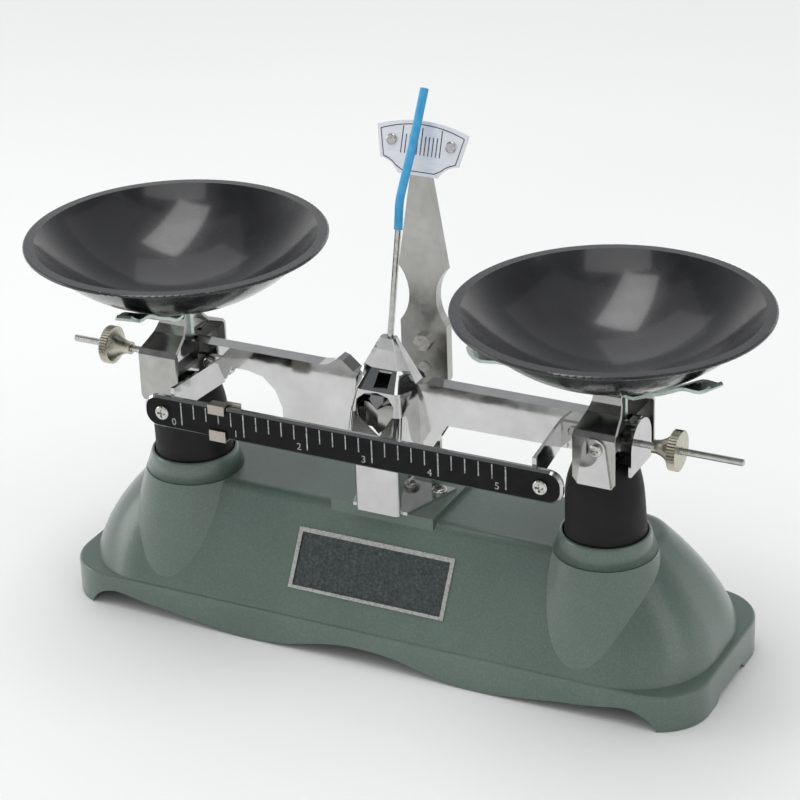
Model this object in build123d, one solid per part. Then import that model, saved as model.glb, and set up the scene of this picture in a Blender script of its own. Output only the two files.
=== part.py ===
from build123d import *
import math
import os

# Roberval table balance with two dished pans on a swinging beam.
# Millimetres. +X is to the right, +Y to the back and +Z up.
# The origin is on the table, below the middle of the line that joins the pan centres.

# Main sizes of the mechanism
PIVOT_Z = 91.0            # height of the three knife edges at rest
ARM = 83.5                # centre knife to end knife
PAN_X = 83.0              # pan centres, left and right
LINK_Z = 22.0             # height of the lower link's pins
RUN_GAP = 0.05            # radial clearance of a pin or shaft that turns or slides
REST_GAP = 0.25           # gap between pieces of two bodies that rest on each other
SHEET = 0.8               # sheet of the beam
PLATE = 1.2               # sheet of the column and the claws

# Pans
PAN_R = 54.0
PAN_RIM_Z = 139.0
PAN_DEPTH = 25.0
PAN_WALL = 1.0
RIM_W = 2.6
RIM_H = 1.3

# Base casting
TOP_Z = 50.0
WALL = 4.0
SKIRT_Z = 13.5
FOOT_X = 124.0
FOOT_Y = (-31.5, 47.5)
FOOT_CORNER = 19.0
CREST_X = 96.0
CREST_Y = (-9.0, 28.0)
CREST_R = 15.0
CREST_FILLET = 5.0
COLLAR_TOP_R = 18.0
COLLAR_FOOT_R = 29.0
PAD_H = 2.0
PAD_X = 20.0
PAD_Y = (-14.5, 27.0)
ARCH_H = 7.0

# Rubber boots
BOOT_X = 80.9
BOOT_Y = -1.0
BOOT_R = 15.4
BOOT_TOP = 84.6
BOOT_WALL = 1.8
BOOT_HOLE_R = 7.6

# Stems, lower link and its pins
STEM_W = 9.0
STEM_T = 2.0
EYE_W = 5.6
EYE_H = 8.0
STEM_END_Z = 16.0
STEM_HOLE_R = 8.0
PIN_R = 1.5
LINK_H = 10.0
LINK_T = 2.0
LINK_GAP = 0.3
LINK_PIN_R = 2.0

# Beam
BEAM_TOP = 100.0
BEAM_BOT = 86.0
BEAM_END = 92.4
BEAM_W = 6.0
DEEP_Z = 76.0
ARCH_X = 42.0
ARCH_TOP = 92.4
PEAK_Z = 114.0
HOOD_X = 12.5
KNIFE_W = 5.0
KNIFE_H = 5.0
END_KNIFE_W = 3.6
END_KNIFE_H = 4.0
END_KNIFE_Y = 15.0
END_PLATE_R = 9.0
END_PLATE_T = 1.0
END_RIM = 3.0
STUD_R = 1.3
STUD_TIP = 129.7

# Balance nuts
NUT_R = 7.0
NUT_RIM = 3.0
NUT_LEN = 10.0
NUT_COLLAR_R = 2.4
LEFT_NUT_X = -105.5
RIGHT_NUT_X = 97.6
KNURLS = 40

# Scale bar, rider and stand-offs
SCALE_X = 79.5
SCALE_Z = (81.0, 93.0)
SCALE_Y = -34.4
SCALE_T = 2.0
SCALE_SCREW_X = 71.9
STANDOFF_X = 65.0
STANDOFF_T = 1.0
STANDOFF_Z = (86.2, 96.0)
RIVET_X = 70.7
RIVET_Z = 93.0
RIDER_X = -50.0
RIDER_W = 6.4
RIDER_T = 0.6

# Pan holders and claws
HOLDER_W = 15.0
NECK_W = 10.0
HOLDER_Y = 18.0
HOLDER_T = 1.0
HOLDER_TOP = 111.4
HOLDER_BOT = 81.5
CLAW_W = 11.7
CLAW_R = 49.5
CLAW_CONTACT_R = 43.0
BEARING_W = 8.0
BEARING_H = 7.0

# Column
COLUMN_X = 8.75
COLUMN_FRONT = -14.0
COLUMN_BACK = 12.0
COLUMN_FRONT_TOP = 73.0
COLUMN_TOP = 90.0

# Indicator
BRACKET_Y = 27.0
BRACKET_T = 1.0
BRACKET_RIM = 4.0
BRACKET_Z = (84.0, 165.8)
LEAN = 20.0
POST_W = 9.0
POST_T = 1.6
DIAL_Z = 174.2
DIAL_T = 0.8
POINTER_R = 1.1
SLEEVE_R = 1.5

made = {}


def block(x0, x1, y0, y1, z0, z1):
    size = (abs(x1 - x0), abs(y1 - y0), abs(z1 - z0))
    return Pos((x0 + x1) / 2, (y0 + y1) / 2, (z0 + z1) / 2) * Box(*size)


def side_cut(points, y0, y1):
    # a closed outline of (x, z) points, extruded from y0 to y1
    outline = make_face(Polyline(*[(x, y0, z) for x, z in points], close=True))
    return extrude(outline, amount=y1 - y0, dir=(0, 1, 0))


def end_cut(points, x0, x1):
    # a closed outline of (y, z) points, extruded from x0 to x1
    outline = make_face(Polyline(*[(x0, y, z) for y, z in points], close=True))
    return extrude(outline, amount=x1 - x0, dir=(1, 0, 0))


def plan_cut(points, z0, z1):
    # a closed outline of (x, y) points, extruded from z0 to z1
    outline = make_face(Polyline(*[(x, y, z0) for x, y in points], close=True))
    return extrude(outline, amount=z1 - z0, dir=(0, 0, 1))


def face_of(*parts):
    # a face inside one closed outline that is given as lines and curves
    return make_face([edge for part in parts for edge in part.edges()])


def rod(start, end, radius):
    line = Vector(*end) - Vector(*start)
    flat = Plane(origin=start, z_dir=line)
    return extrude(flat * Circle(radius), amount=line.length)


def turn(shape):
    # half a turn about the balance's upright axis, which makes the left piece from the right one
    return Rot(0, 0, 180) * shape


def flip(shape):
    # the mirror image, left for right
    return mirror(shape, about=Plane.YZ)


def on_both_sides(shape):
    return [flip(shape), shape]


def group(shapes):
    return Compound(children=list(shapes))


# Base casting: a skirt with feet, an upper body that narrows to the crest, and two boot collars
def base_section(z, grow):
    # plan outline of the upper body at height z; grow moves every side outwards
    up = (z - SKIRT_Z) / (TOP_Z - SKIRT_Z)
    bulge = 4.5 * math.sin(math.pi * up)
    x = (FOOT_X - 2.5) * (1 - up) + CREST_X * up + bulge + grow
    front = (FOOT_Y[0] + 0.6) * (1 - up) + CREST_Y[0] * up - grow
    back = (FOOT_Y[1] - 0.6) * (1 - up) + CREST_Y[1] * up + grow
    corner = (FOOT_CORNER + 12.0) * (1 - up) + CREST_R * up + grow
    outline = RectangleRounded(2 * x, back - front, corner)
    return Pos(0, (front + back) / 2, z) * outline


def skirt_solid(grow, z0, z1):
    depth = FOOT_Y[1] - FOOT_Y[0] + 2 * grow
    outline = RectangleRounded(2 * (FOOT_X + grow), depth, FOOT_CORNER + grow)
    return extrude(Pos(0, sum(FOOT_Y) / 2, z0) * outline, amount=z1 - z0)


def collar(grow, z0, z1):
    slope = (COLLAR_FOOT_R - COLLAR_TOP_R) / (TOP_Z - SKIRT_Z)
    low_r = COLLAR_TOP_R + slope * (TOP_Z - z0) + grow
    high_r = COLLAR_TOP_R + slope * (TOP_Z - z1) + grow
    return Pos(BOOT_X, BOOT_Y, (z0 + z1) / 2) * Cone(low_r, high_r, z1 - z0)


def lower_edge():
    # the wavy lower edge of the skirt, from the middle to the inner corner of a foot
    half = [(0, 6.4), (16, 4.8), (30, 1.6), (61, 1.6), (76, 3.7), (92, 5.8)]
    half += [(102, ARCH_H), (108, 4.6), (111.5, 0)]
    right = Spline(*[(x, 0, z) for x, z in half])
    left = mirror(right, about=Plane.YZ)
    floor = Polyline((111.5, 0, 0), (111.5, 0, -5), (-111.5, 0, -5), (-111.5, 0, 0))
    outline = face_of(right, left, floor)
    depth = FOOT_Y[1] - FOOT_Y[0]
    return Pos(0, FOOT_Y[0] - 5, 0) * extrude(outline, amount=depth + 10, dir=(0, 1, 0))


def make_base():
    levels = [SKIRT_Z, 25.0, 37.0, TOP_Z]
    upper = loft([base_section(z, 0) for z in levels])
    upper = fillet(upper.faces().sort_by(Axis.Z)[-1].edges(), CREST_FILLET)
    skirt = skirt_solid(0, 0, SKIRT_Z)
    skirt = fillet(skirt.edges().group_by(Axis.Z)[-1], 1.2)
    body = upper + skirt
    for side in on_both_sides(collar(0, SKIRT_Z - 1, TOP_Z - 0.4)):
        body += side
    body += block(-PAD_X, PAD_X, PAD_Y[0] + 4, PAD_Y[1], TOP_Z - 6, TOP_Z + PAD_H)
    # the hollow follows the outside
    inside_top = TOP_Z - WALL
    body -= loft([base_section(z, -WALL) for z in [SKIRT_Z, 25.0, 37.0, inside_top]])
    body -= extrude(base_section(SKIRT_Z, -WALL), amount=-WALL, dir=(0, 0, 1))
    body -= skirt_solid(-WALL, -1, SKIRT_Z - WALL)
    # a lug under the top carries the lower link's pin
    body += block(-8, 8, -8, -4, LINK_Z - 6, inside_top + 1)
    for side in on_both_sides(Pos(ARM, 0, TOP_Z - 5) * Cylinder(STEM_HOLE_R, 30)):
        body -= side
    body -= lower_edge()
    side_arch = end_cut([(-6, -1), (-3, 2.5), (19, 2.5), (22, -1)], -FOOT_X - 5, FOOT_X + 5)
    body -= side_arch
    body -= Pos(0, -6, LINK_Z) * Rot(90, 0, 0) * Cylinder(LINK_PIN_R, 6)
    body -= nameplate_solid()
    for x, y in column_screw_places():
        body -= Pos(x, y, TOP_Z) * Cylinder(1.5, 12)
    for x, y in post_screw_places():
        body -= Pos(x, y, TOP_Z) * Cylinder(1.5, 12)
    return body


# Nameplate: a bare cast plate with a raised edge, let into the front slope
NAME_W = 61.0
NAME_H = 22.0
NAME_T = 1.2
NAME_RIM = 1.6
NAME_Z = 31.3


def slope_plane():
    rise = TOP_Z - SKIRT_Z
    low_y = FOOT_Y[0] + 0.6
    run = CREST_Y[0] - low_y
    y = low_y + run * (NAME_Z - SKIRT_Z) / rise
    return Plane(origin=(0, y, NAME_Z), x_dir=(1, 0, 0), z_dir=(0, -rise, run))


def nameplate_solid():
    plate = slope_plane() * Pos(0, 0, NAME_T / 2 - 0.6) * Box(NAME_W, NAME_H, NAME_T)
    return plate


def make_nameplate():
    field = Box(NAME_W - 2 * NAME_RIM, NAME_H - 2 * NAME_RIM, NAME_T)
    return nameplate_solid() - slope_plane() * Pos(0, 0, NAME_T - 0.35) * field


# Rubber boot: a soft sleeve with a flared foot and a rounded shoulder
def boot_profile(grow, low_z, top_z):
    points = [(BOOT_R + 1.0 + grow, low_z), (BOOT_R + 0.2 + grow, low_z + 5)]
    points += [(BOOT_R + grow, top_z - 18), (BOOT_R - 1.0 + grow, top_z - 7.5)]
    points += [(11.4 + grow, top_z - 2.8), (BOOT_HOLE_R + BOOT_WALL + grow, top_z)]
    return points


def make_boot():
    outer = boot_profile(0, TOP_Z, BOOT_TOP)
    inner = boot_profile(-BOOT_WALL, TOP_Z, BOOT_TOP - BOOT_WALL)
    path = Spline(*[(x, 0, z) for x, z in outer])
    back = Spline(*[(x, 0, z) for x, z in inner[::-1]])
    top = Polyline((outer[-1][0], 0, BOOT_TOP), (BOOT_HOLE_R, 0, BOOT_TOP),
                   (inner[-1][0], 0, inner[-1][1]))
    foot = Line((inner[0][0], 0, TOP_Z), (outer[0][0], 0, TOP_Z))
    section = face_of(path, top, back, foot)
    shell = revolve(section, axis=Axis.Z)
    return Pos(BOOT_X, BOOT_Y, 0) * shell


# Column: front plate, two side plates and feet turned outwards
def column_screw_places():
    return [(-14.2, 7.0), (14.2, 7.0)]


def make_column():
    foot_z = TOP_Z + PAD_H
    inner_x = COLUMN_X - PLATE
    side_outline = [(COLUMN_FRONT, foot_z), (COLUMN_FRONT, COLUMN_FRONT_TOP), (-10, 77),
                    (-10, COLUMN_TOP), (10, COLUMN_TOP), (10, 77), (COLUMN_BACK, 70),
                    (COLUMN_BACK, foot_z)]
    body = end_cut(side_outline, -COLUMN_X, COLUMN_X)
    body = fillet(body.edges().filter_by(Axis.Z).group_by(Axis.Y)[0], 2.0)
    inside = end_cut([(COLUMN_FRONT + PLATE, foot_z - 1), (COLUMN_FRONT + PLATE, COLUMN_TOP + 1),
                      (COLUMN_BACK + 1, COLUMN_TOP + 1), (COLUMN_BACK + 1, foot_z - 1)],
                     -inner_x, inner_x)
    body -= inside
    window = end_cut([(-6, 62), (-6, 80), (6, 80), (6, 62)], -COLUMN_X - 1, COLUMN_X + 1)
    body -= window
    foot = plan_cut([(COLUMN_X - PLATE, -11.5), (10.6, -11.5), (18.5, COLUMN_BACK),
                     (COLUMN_X - PLATE, COLUMN_BACK)], foot_z, foot_z + PLATE)
    for side in on_both_sides(foot):
        body += side
    for x, y in column_screw_places():
        body -= Pos(x, y, foot_z) * Cylinder(1.6, 6)
    return body


def pan_head_screw(head_r, head_h, shank_r, shank_len):
    # head above z = 0 with a cross recess, shank below
    head = Pos(0, 0, head_h / 2) * Cylinder(head_r, head_h)
    head = fillet(head.edges().group_by(Axis.Z)[-1], head_h * 0.55)
    slot_w = head_r * 0.3
    for angle in (0, 90):
        slot = Box(head_r * 1.15, slot_w, head_h)
        head -= Pos(0, 0, head_h) * Rot(0, 0, angle) * slot
    return head + Pos(0, 0, -shank_len / 2) * Cylinder(shank_r, shank_len)


def make_column_screws():
    top = TOP_Z + PAD_H + PLATE
    screw = pan_head_screw(2.8, 1.8, 1.5, 6)
    return group([Pos(x, y, top) * screw for x, y in column_screw_places()])


# Centre bearings: shield-shaped blocks with a V in the top, fixed between the column's sides
def make_centre_bearing():
    apex = PIVOT_Z - REST_GAP
    shield = [(0, 81.5), (5.6, 86.5), (5.6, apex + 2), (3.4, apex + 2), (0, apex),
              (-3.4, apex + 2), (-5.6, apex + 2), (-5.6, 86.5)]
    front = side_cut(shield, -10.6, -8.0)
    # two facets meet in a ridge on the front face
    for s in (1, -1):
        facet = plan_cut([(0, -10.6), (s * 6, -9.6), (s * 6, -12), (0, -12)], 78, 96)
        front -= facet
    bar = block(-COLUMN_X + PLATE, COLUMN_X - PLATE, -8.0, -5.0, 82.5, 89.5)
    return front + bar


# Indicator bracket, its post and its dial plate
def post_screw_places():
    return [(0, 18.0)]


def make_bracket_post():
    foot_z = TOP_Z + PAD_H
    y1 = BRACKET_Y + BRACKET_T
    half = POST_W / 2
    foot = block(-half, half, 13.5, y1 + POST_T, foot_z, foot_z + POST_T)
    upright = block(-half, half, y1, y1 + POST_T, foot_z, 107)
    body = foot + upright
    corner = body.edges().filter_by(Axis.X).group_by(Axis.Z)[0].sort_by(Axis.Y)[-1]
    body = fillet(corner, POST_T * 0.9)
    body -= Pos(0, 18.0, foot_z) * Cylinder(1.6, 6)
    body -= rod((0, 20, 101), (0, 40, 101), 1.6)
    body -= rod((0, 20, 91), (0, 40, 91), 1.3)
    return body


def make_post_screws():
    screw = pan_head_screw(2.8, 1.8, 1.5, 6)
    return Pos(0, 18.0, TOP_Z + PAD_H + POST_T) * screw


def bracket_outline(grow):
    low, high = BRACKET_Z
    wide = 9.0 + grow
    neck = 4.5 + grow
    top = 3.5 + grow
    curve = [(wide, 108), (neck, 119), (wide, 129), (wide - 1.6, 137), (top, 160)]
    right = Spline(*[(x, 0, z) for x, z in curve], tangents=[(0, 0, 1), (0, 0, 1)])
    left = mirror(right, about=Plane.YZ)
    r = 3.0 + grow
    lower = FilletPolyline((-wide, 0, 108), (-wide, 0, low - grow), (wide, 0, low - grow),
                           (wide, 0, 108), radius=r)
    upper = Polyline((top, 0, 160), (top, 0, high), (-top, 0, high), (-top, 0, 160))
    return face_of(right, left, lower, upper)


def make_indicator_bracket():
    y0, y1 = BRACKET_Y, BRACKET_Y + BRACKET_T
    plate = Pos(0, y0, 0) * extrude(bracket_outline(0), amount=BRACKET_RIM, dir=(0, 1, 0))
    inside = Pos(0, y1, 0) * extrude(bracket_outline(-BRACKET_T), amount=BRACKET_RIM, dir=(0, 1, 0))
    plate -= inside
    # the turned-back edge is cut away for the post and at the leaning head
    plate -= block(-5, 5, y1, y1 + BRACKET_RIM, BRACKET_Z[0] - 1, BRACKET_Z[0] + 4)
    plate -= block(-5, 5, y1, y1 + BRACKET_RIM, BRACKET_Z[1] - 3, BRACKET_Z[1] + 1)
    plate -= rod((0, 20, 101), (0, 40, 101), 1.6)
    plate -= rod((0, 20, 91), (0, 40, 91), 1.3)
    head = [(-3.5, -1.0), (3.5, -1.0), (3.5, 5.2), (14, 5.2), (14, 12), (-14, 12), (-14, 5.2),
            (-3.5, 5.2)]
    outline = make_face(Polyline(*[(x, 0, z) for x, z in head], close=True))
    tongue = extrude(outline, amount=BRACKET_T, dir=(0, 1, 0))
    tongue = Pos(0, y0, BRACKET_Z[1]) * Rot(-LEAN, 0, 0) * tongue
    for x in (-11.3, 11.3):
        tongue -= dial_place() * Pos(x, 0, 0) * Cylinder(1.1, 10)
    return plate + tongue


def dial_place():
    # a plane on the front of the leaning head, at the height of the dial's rivets
    up = (DIAL_Z - BRACKET_Z[1]) / math.cos(math.radians(LEAN))
    y = BRACKET_Y + up * math.sin(math.radians(LEAN))
    lean = math.radians(LEAN)
    return Plane(origin=(0, y, DIAL_Z), x_dir=(1, 0, 0), z_dir=(0, -math.cos(lean), math.sin(lean)))


def make_dial():
    # distances are from the rivets' height, measured along the leaning plate
    right = [(0, 7.6), (17.4, 4.6), (15.0, -6.6)]
    waist = (7.3, -11.2)
    top = [Line((0, right[0][1]), right[1])]
    side = [Line(right[1], right[2])]
    arc = [RadiusArc(right[2], waist, 9.0)]
    foot = [Line(waist, (-waist[0], waist[1]))]
    half = top + side + arc
    other = [mirror(e, about=Plane.YZ) for e in half]
    outline = face_of(*half, *other, *foot)
    plate = extrude(outline, amount=DIAL_T)
    for x in (-11.3, 11.3):
        plate -= Pos(x, 0, 0) * Cylinder(1.1, 5)
    return dial_place() * plate


def make_dial_rivets():
    head = Pos(0, 0, DIAL_T + 0.45) * Cylinder(2.0, 0.9)
    head = fillet(head.edges().group_by(Axis.Z)[-1], 0.6)
    rivet = head + Pos(0, 0, -0.6) * Cylinder(1.05, 2.8)
    return group([dial_place() * Pos(x, 0, 0) * rivet for x in (-11.3, 11.3)])


def make_bracket_bolt():
    y0 = BRACKET_Y
    head = Plane(origin=(0, y0, 101), x_dir=(1, 0, 0), z_dir=(0, -1, 0))
    hexagon = extrude(head * RegularPolygon(3.4, 6), amount=2.4)
    return hexagon + rod((0, y0, 101), (0, y0 + 7.5, 101), 1.5)


def make_bracket_nut():
    y1 = BRACKET_Y + BRACKET_T + POST_T
    back = Plane(origin=(0, y1, 101), x_dir=(1, 0, 0), z_dir=(0, 1, 0))
    nut = extrude(back * RegularPolygon(3.4, 6), amount=2.4)
    return nut - rod((0, y1 - 1, 101), (0, y1 + 5, 101), 1.55)


def make_bracket_rivet():
    y1 = BRACKET_Y + BRACKET_T + POST_T
    front = rod((0, BRACKET_Y - 0.7, 91), (0, BRACKET_Y, 91), 2.1)
    shank = rod((0, BRACKET_Y, 91), (0, y1, 91), 1.25)
    return front + shank + rod((0, y1, 91), (0, y1 + 0.7, 91), 2.1)


# Beam: a stamped channel, open below, whose middle is drawn out into a hood at the front and back
def hood_section(z, grow):
    # plan outline of the hood at height z
    levels = [(DEEP_Z, HOOD_X, 10.4, 16.5), (90.0, 12.4, 9.4, 13.2), (97.5, 12.0, 7.6, 10.6),
              (103.5, 8.8, 5.0, 4.4), (110.0, 5.2, 3.4, 2.6), (PEAK_Z, 3.0, 2.2, 1.8)]
    below = [row for row in levels if row[0] <= max(z, DEEP_Z)][-1]
    above = [row for row in levels if row[0] >= min(z, PEAK_Z)][0]
    share = 0 if above[0] == below[0] else (z - below[0]) / (above[0] - below[0])
    back_x, front_x, depth = [a + (b - a) * share for a, b in zip(below[1:], above[1:])]
    back_x += grow
    front_x += grow
    depth += grow
    flat = min(BEAM_W / 2, depth * 0.5)
    points = [(back_x, -flat), (front_x, -depth), (-front_x, -depth), (-back_x, -flat),
              (-back_x, flat), (-front_x, depth), (front_x, depth), (back_x, flat)]
    outline = make_face(Polyline(*[(x, y, 0) for x, y in points], close=True))
    corners = outline.vertices().filter_by(lambda v: abs(abs(v.Y) - depth) < 0.01)
    outline = fillet(corners, min(2.4, depth * 0.4, front_x * 0.5))
    return Pos(0, 0, z) * outline


def hood_body(grow, low, high):
    levels = [low, 90.0, 97.5, 103.5, 110.0, high]
    return loft([hood_section(z, grow) for z in levels], ruled=True)


def beam_outline():
    bump_x = 18.0
    right = [(BEAM_END, BEAM_TOP), (BEAM_END, BEAM_BOT), (22.7, BEAM_BOT - 0.6), (17.0, DEEP_Z)]
    left = [(-ARCH_X, DEEP_Z), (-ARCH_X, 80.0), (-44.6, 86.6), (-49.4, 91.0), (-55.5, ARCH_TOP),
            (-62.0, ARCH_TOP), (-64.5, BEAM_BOT + 1.5), (-67.0, BEAM_BOT), (-BEAM_END, BEAM_BOT),
            (-BEAM_END, BEAM_TOP)]
    top = [(-bump_x - 8.5, BEAM_TOP), (-bump_x - 5, BEAM_TOP + 0.6), (-bump_x - 1, BEAM_TOP + 3.6),
           (-bump_x + 1, BEAM_TOP + 3.0), (-bump_x + 5, BEAM_TOP - 0.4), (-11.5, BEAM_TOP - 0.8),
           (11.5, BEAM_TOP - 0.8), (15.0, BEAM_TOP)]
    return right + left + top


def make_beam():
    half = BEAM_W / 2
    points = beam_outline()
    solid = side_cut(points, -half, half)
    # the inside follows the top edge and is open below
    top_edge = points[14:] + points[:1]
    roof = [(x, z - SHEET) for x, z in top_edge]
    start = (-BEAM_END - 1, BEAM_TOP - SHEET)
    end = (BEAM_END + 1, BEAM_TOP - SHEET)
    inside = [start] + roof[:-1] + [end, (end[0], 60), (start[0], 60)]
    solid -= side_cut(inside, -half + SHEET, half - SHEET)
    # the middle, between the arms, is the hood
    outer = hood_body(0, DEEP_Z, PEAK_Z)
    inner = hood_body(-SHEET, DEEP_Z, PEAK_Z - SHEET)
    inner += Pos(0, 0, -5) * extrude(hood_section(DEEP_Z, -SHEET), amount=5.0)
    solid = solid - inner + (outer - inner)
    # window in the hood's front, with the small slot and the recess above it
    window = [(-7.2, 88.8), (-7.4, 94.2), (-4.6, 96.4), (0, 97.2), (4.4, 96.2), (7.0, 93.4),
              (7.2, 90.6), (2.4, 82.4)]
    solid -= side_cut(window, -20, -6)
    solid -= side_cut([(-1.8, 98.4), (-1.6, 104.2), (3.2, 104.4), (3.4, 98.6)], -12, -4.8)
    solid -= side_cut([(-11.2, 91.6), (-10.4, 97.0), (-9.2, 97.4), (-10.0, 92.0)], -12, -5)
    # slots in the top for the stems, holes for the end knives and the stand-off rivets
    for x in (-ARM, ARM):
        solid -= block(x - 6.2, x + 6.2, -1.9, 1.9, BEAM_TOP - 2, BEAM_TOP + 1)
        solid -= end_knife_at(x, 0.0)
    for x in (-RIVET_X, RIVET_X):
        solid -= rod((x, -half - 1, RIVET_Z), (x, -1, RIVET_Z), 1.2)
    solid -= rod(POINTER_PATH[0], POINTER_PATH[1], POINTER_R + 0.2)
    return solid


def end_knife_at(x, grow):
    w = END_KNIFE_W / 2
    low = PIVOT_Z - END_KNIFE_H
    points = [(x, PIVOT_Z), (x + w, PIVOT_Z - 2.2), (x + w, low), (x - w, low), (x - w, PIVOT_Z - 2.2)]
    return side_cut(points, -END_KNIFE_Y - grow, END_KNIFE_Y + grow)


def make_centre_knife():
    # the knife and its cross carrier, which is held between the hood's flanks
    w = KNIFE_W / 2
    top = PIVOT_Z + KNIFE_H
    points = [(0, PIVOT_Z), (w, PIVOT_Z + 3), (w, top), (-w, top), (-w, PIVOT_Z + 3)]
    carrier = block(-HOOD_X, HOOD_X, -8, 8, top - 1.5, top + 1)
    inside = hood_body(-SHEET, DEEP_Z, PEAK_Z - SHEET)
    return (side_cut(points, -11.4, 11.4) + carrier) & inside


def make_end_plate():
    # D-shaped plate with a turned-in rim, square to the beam
    inner_x = BEAM_END
    outer_x = inner_x + END_PLATE_T

    def d_shape(r, x0, x1):
        round_part = rod((x0, 0, PIVOT_Z), (x1, 0, PIVOT_Z), r)
        lower = block(x0, x1, -r, r, PIVOT_Z - 8.6, PIVOT_Z)
        return (round_part & block(x0, x1, -r, r, PIVOT_Z, PIVOT_Z + r)) + lower
    cup = d_shape(END_PLATE_R, inner_x - END_RIM, outer_x)
    cup -= d_shape(END_PLATE_R - END_PLATE_T, inner_x - END_RIM - 1, inner_x)
    cup -= block(inner_x - END_RIM - 1, inner_x, -10, 10, PIVOT_Z - 10, PIVOT_Z - 4)
    cup -= block(inner_x - END_RIM - 1, inner_x, -BEAM_W / 2, BEAM_W / 2, 80, 101)
    cup -= rod((80, 0, PIVOT_Z), (100, 0, PIVOT_Z), STUD_R)
    return cup


def make_stud():
    # threaded stud with a flange inside the plate
    flange = rod((BEAM_END - 2.4, 0, PIVOT_Z), (BEAM_END, 0, PIVOT_Z), 2.1)
    return flange + rod((BEAM_END, 0, PIVOT_Z), (STUD_TIP, 0, PIVOT_Z), STUD_R)


def make_nut(collar_x, sign):
    # collar towards the beam, then a hollow cone out to the knurled rim
    length = NUT_LEN
    rim_x = length - NUT_RIM
    waist = [(0, NUT_COLLAR_R), (1.6, NUT_COLLAR_R), (4.2, NUT_COLLAR_R + 1.0),
             (rim_x, NUT_R - 0.9)]
    curve = Spline(*[(x, r, 0) for x, r in waist])
    outline = [Line((0, 0), (0, NUT_COLLAR_R)), curve,
               Polyline((rim_x, NUT_R - 0.9), (rim_x + 0.5, NUT_R - 0.9), (rim_x + 0.5, 0), (0, 0))]
    cone = revolve(face_of(*outline), axis=Axis.X)
    points = []
    for i in range(KNURLS * 2):
        r = NUT_R if i % 2 else NUT_R - 0.45
        a = math.pi * i / KNURLS
        points.append((r * math.cos(a), r * math.sin(a)))
    rim = end_cut(points, rim_x, length)
    nut = cone + rim
    nut -= rod((-1, 0, 0), (length + 1, 0, 0), STUD_R + RUN_GAP)
    if sign < 0:
        nut = Rot(0, 0, 180) * nut
    return Pos(collar_x, 0, PIVOT_Z) * nut


# Pointer: a rod that leans back over the dial, with a thin sleeve on its upper part
POINTER_PATH = [(0, -0.4, 107.5), (0, 10.0, 151.0), (0, 11.4, 160.0), (0, 22.5, 175.5),
                (0, 33.0, 193.0)]
SLEEVE_FROM = 1


def swept_rod(points, radius, corner_radii):
    path = FilletPolyline(*points, radius=corner_radii) if len(points) > 2 else Line(*points)
    start = Plane(origin=path @ 0, z_dir=path % 0)
    return sweep(start * Circle(radius), path=path)


def make_pointer():
    shaft = swept_rod(POINTER_PATH, POINTER_R, [40, 12, 30])
    foot = block(-2.2, 2.2, -1.6, 1.6, 104.5, 109.0)
    return shaft + foot


def make_sleeve():
    points = POINTER_PATH[SLEEVE_FROM:]
    low = Vector(*POINTER_PATH[0])
    along = (Vector(*points[0]) - low).normalized()
    start = Vector(*points[0]) - along * 1.0
    full = swept_rod(POINTER_PATH, SLEEVE_R, [40, 12, 30])
    cut = Plane(origin=(0, start.Y, start.Z), z_dir=along)
    lower_part = cut * Pos(0, 0, -30) * Box(40, 40, 60)
    bore = swept_rod(POINTER_PATH, POINTER_R, [40, 12, 30])
    return full - lower_part - bore


# Scale bar, stand-offs, rivets, screws and rider
def make_scale_bar():
    low, high = SCALE_Z
    outline = RectangleRounded(2 * SCALE_X, high - low, 5.2)
    front = Plane(origin=(0, SCALE_Y + SCALE_T, (low + high) / 2), x_dir=(1, 0, 0), z_dir=(0, -1, 0))
    bar = extrude(front * outline, amount=SCALE_T)
    bar = chamfer(bar.faces().sort_by(Axis.Y)[0].edges(), 0.8)
    for x in (-SCALE_SCREW_X, SCALE_SCREW_X):
        bar -= rod((x, SCALE_Y - 1, 87.1), (x, SCALE_Y + 5, 87.1), 1.35)
    return bar


def make_standoff():
    # plan view of a strip: tab on the beam, run forward, tab behind the scale bar
    web_y = -BEAM_W / 2
    bar_y = SCALE_Y + SCALE_T
    t = STANDOFF_T
    points = [(75.0, web_y), (STANDOFF_X, web_y), (69.0 - t, bar_y), (76.0, bar_y),
              (76.0, bar_y + t), (69.2, bar_y + t), (STANDOFF_X + t, web_y - t), (75.0, web_y - t)]
    strip = plan_cut(points, *STANDOFF_Z)
    strip = strip.cut(block(69.5, 80, bar_y - 1, bar_y + 2, 91.6, 99))
    strip = strip.cut(block(68.0, 80, web_y - 2, web_y + 1, 80, 88.4))
    strip -= rod((SCALE_SCREW_X, bar_y - 1, 87.1), (SCALE_SCREW_X, bar_y + 3, 87.1), 1.35)
    strip -= rod((RIVET_X, web_y - 3, RIVET_Z), (RIVET_X, web_y + 1, RIVET_Z), 1.2)
    return strip


def make_standoff_rivets():
    web_y = -BEAM_W / 2
    rivets = []
    for x in (-RIVET_X, RIVET_X):
        head = rod((x, web_y - STANDOFF_T - 0.8, RIVET_Z), (x, web_y - STANDOFF_T, RIVET_Z), 2.1)
        head = fillet(head.edges().group_by(Axis.Y)[0], 0.5)
        rivets.append(head + rod((x, web_y - STANDOFF_T, RIVET_Z), (x, web_y + SHEET + 0.4, RIVET_Z), 1.15))
    return group(rivets)


def make_scale_screws():
    screw = pan_head_screw(2.7, 1.5, 1.3, 5.0)
    place = Plane(origin=(0, SCALE_Y, 87.1), x_dir=(1, 0, 0), z_dir=(0, -1, 0))
    return group([place * Pos(x, 0, 0) * screw for x in (-SCALE_SCREW_X, SCALE_SCREW_X)])


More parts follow.
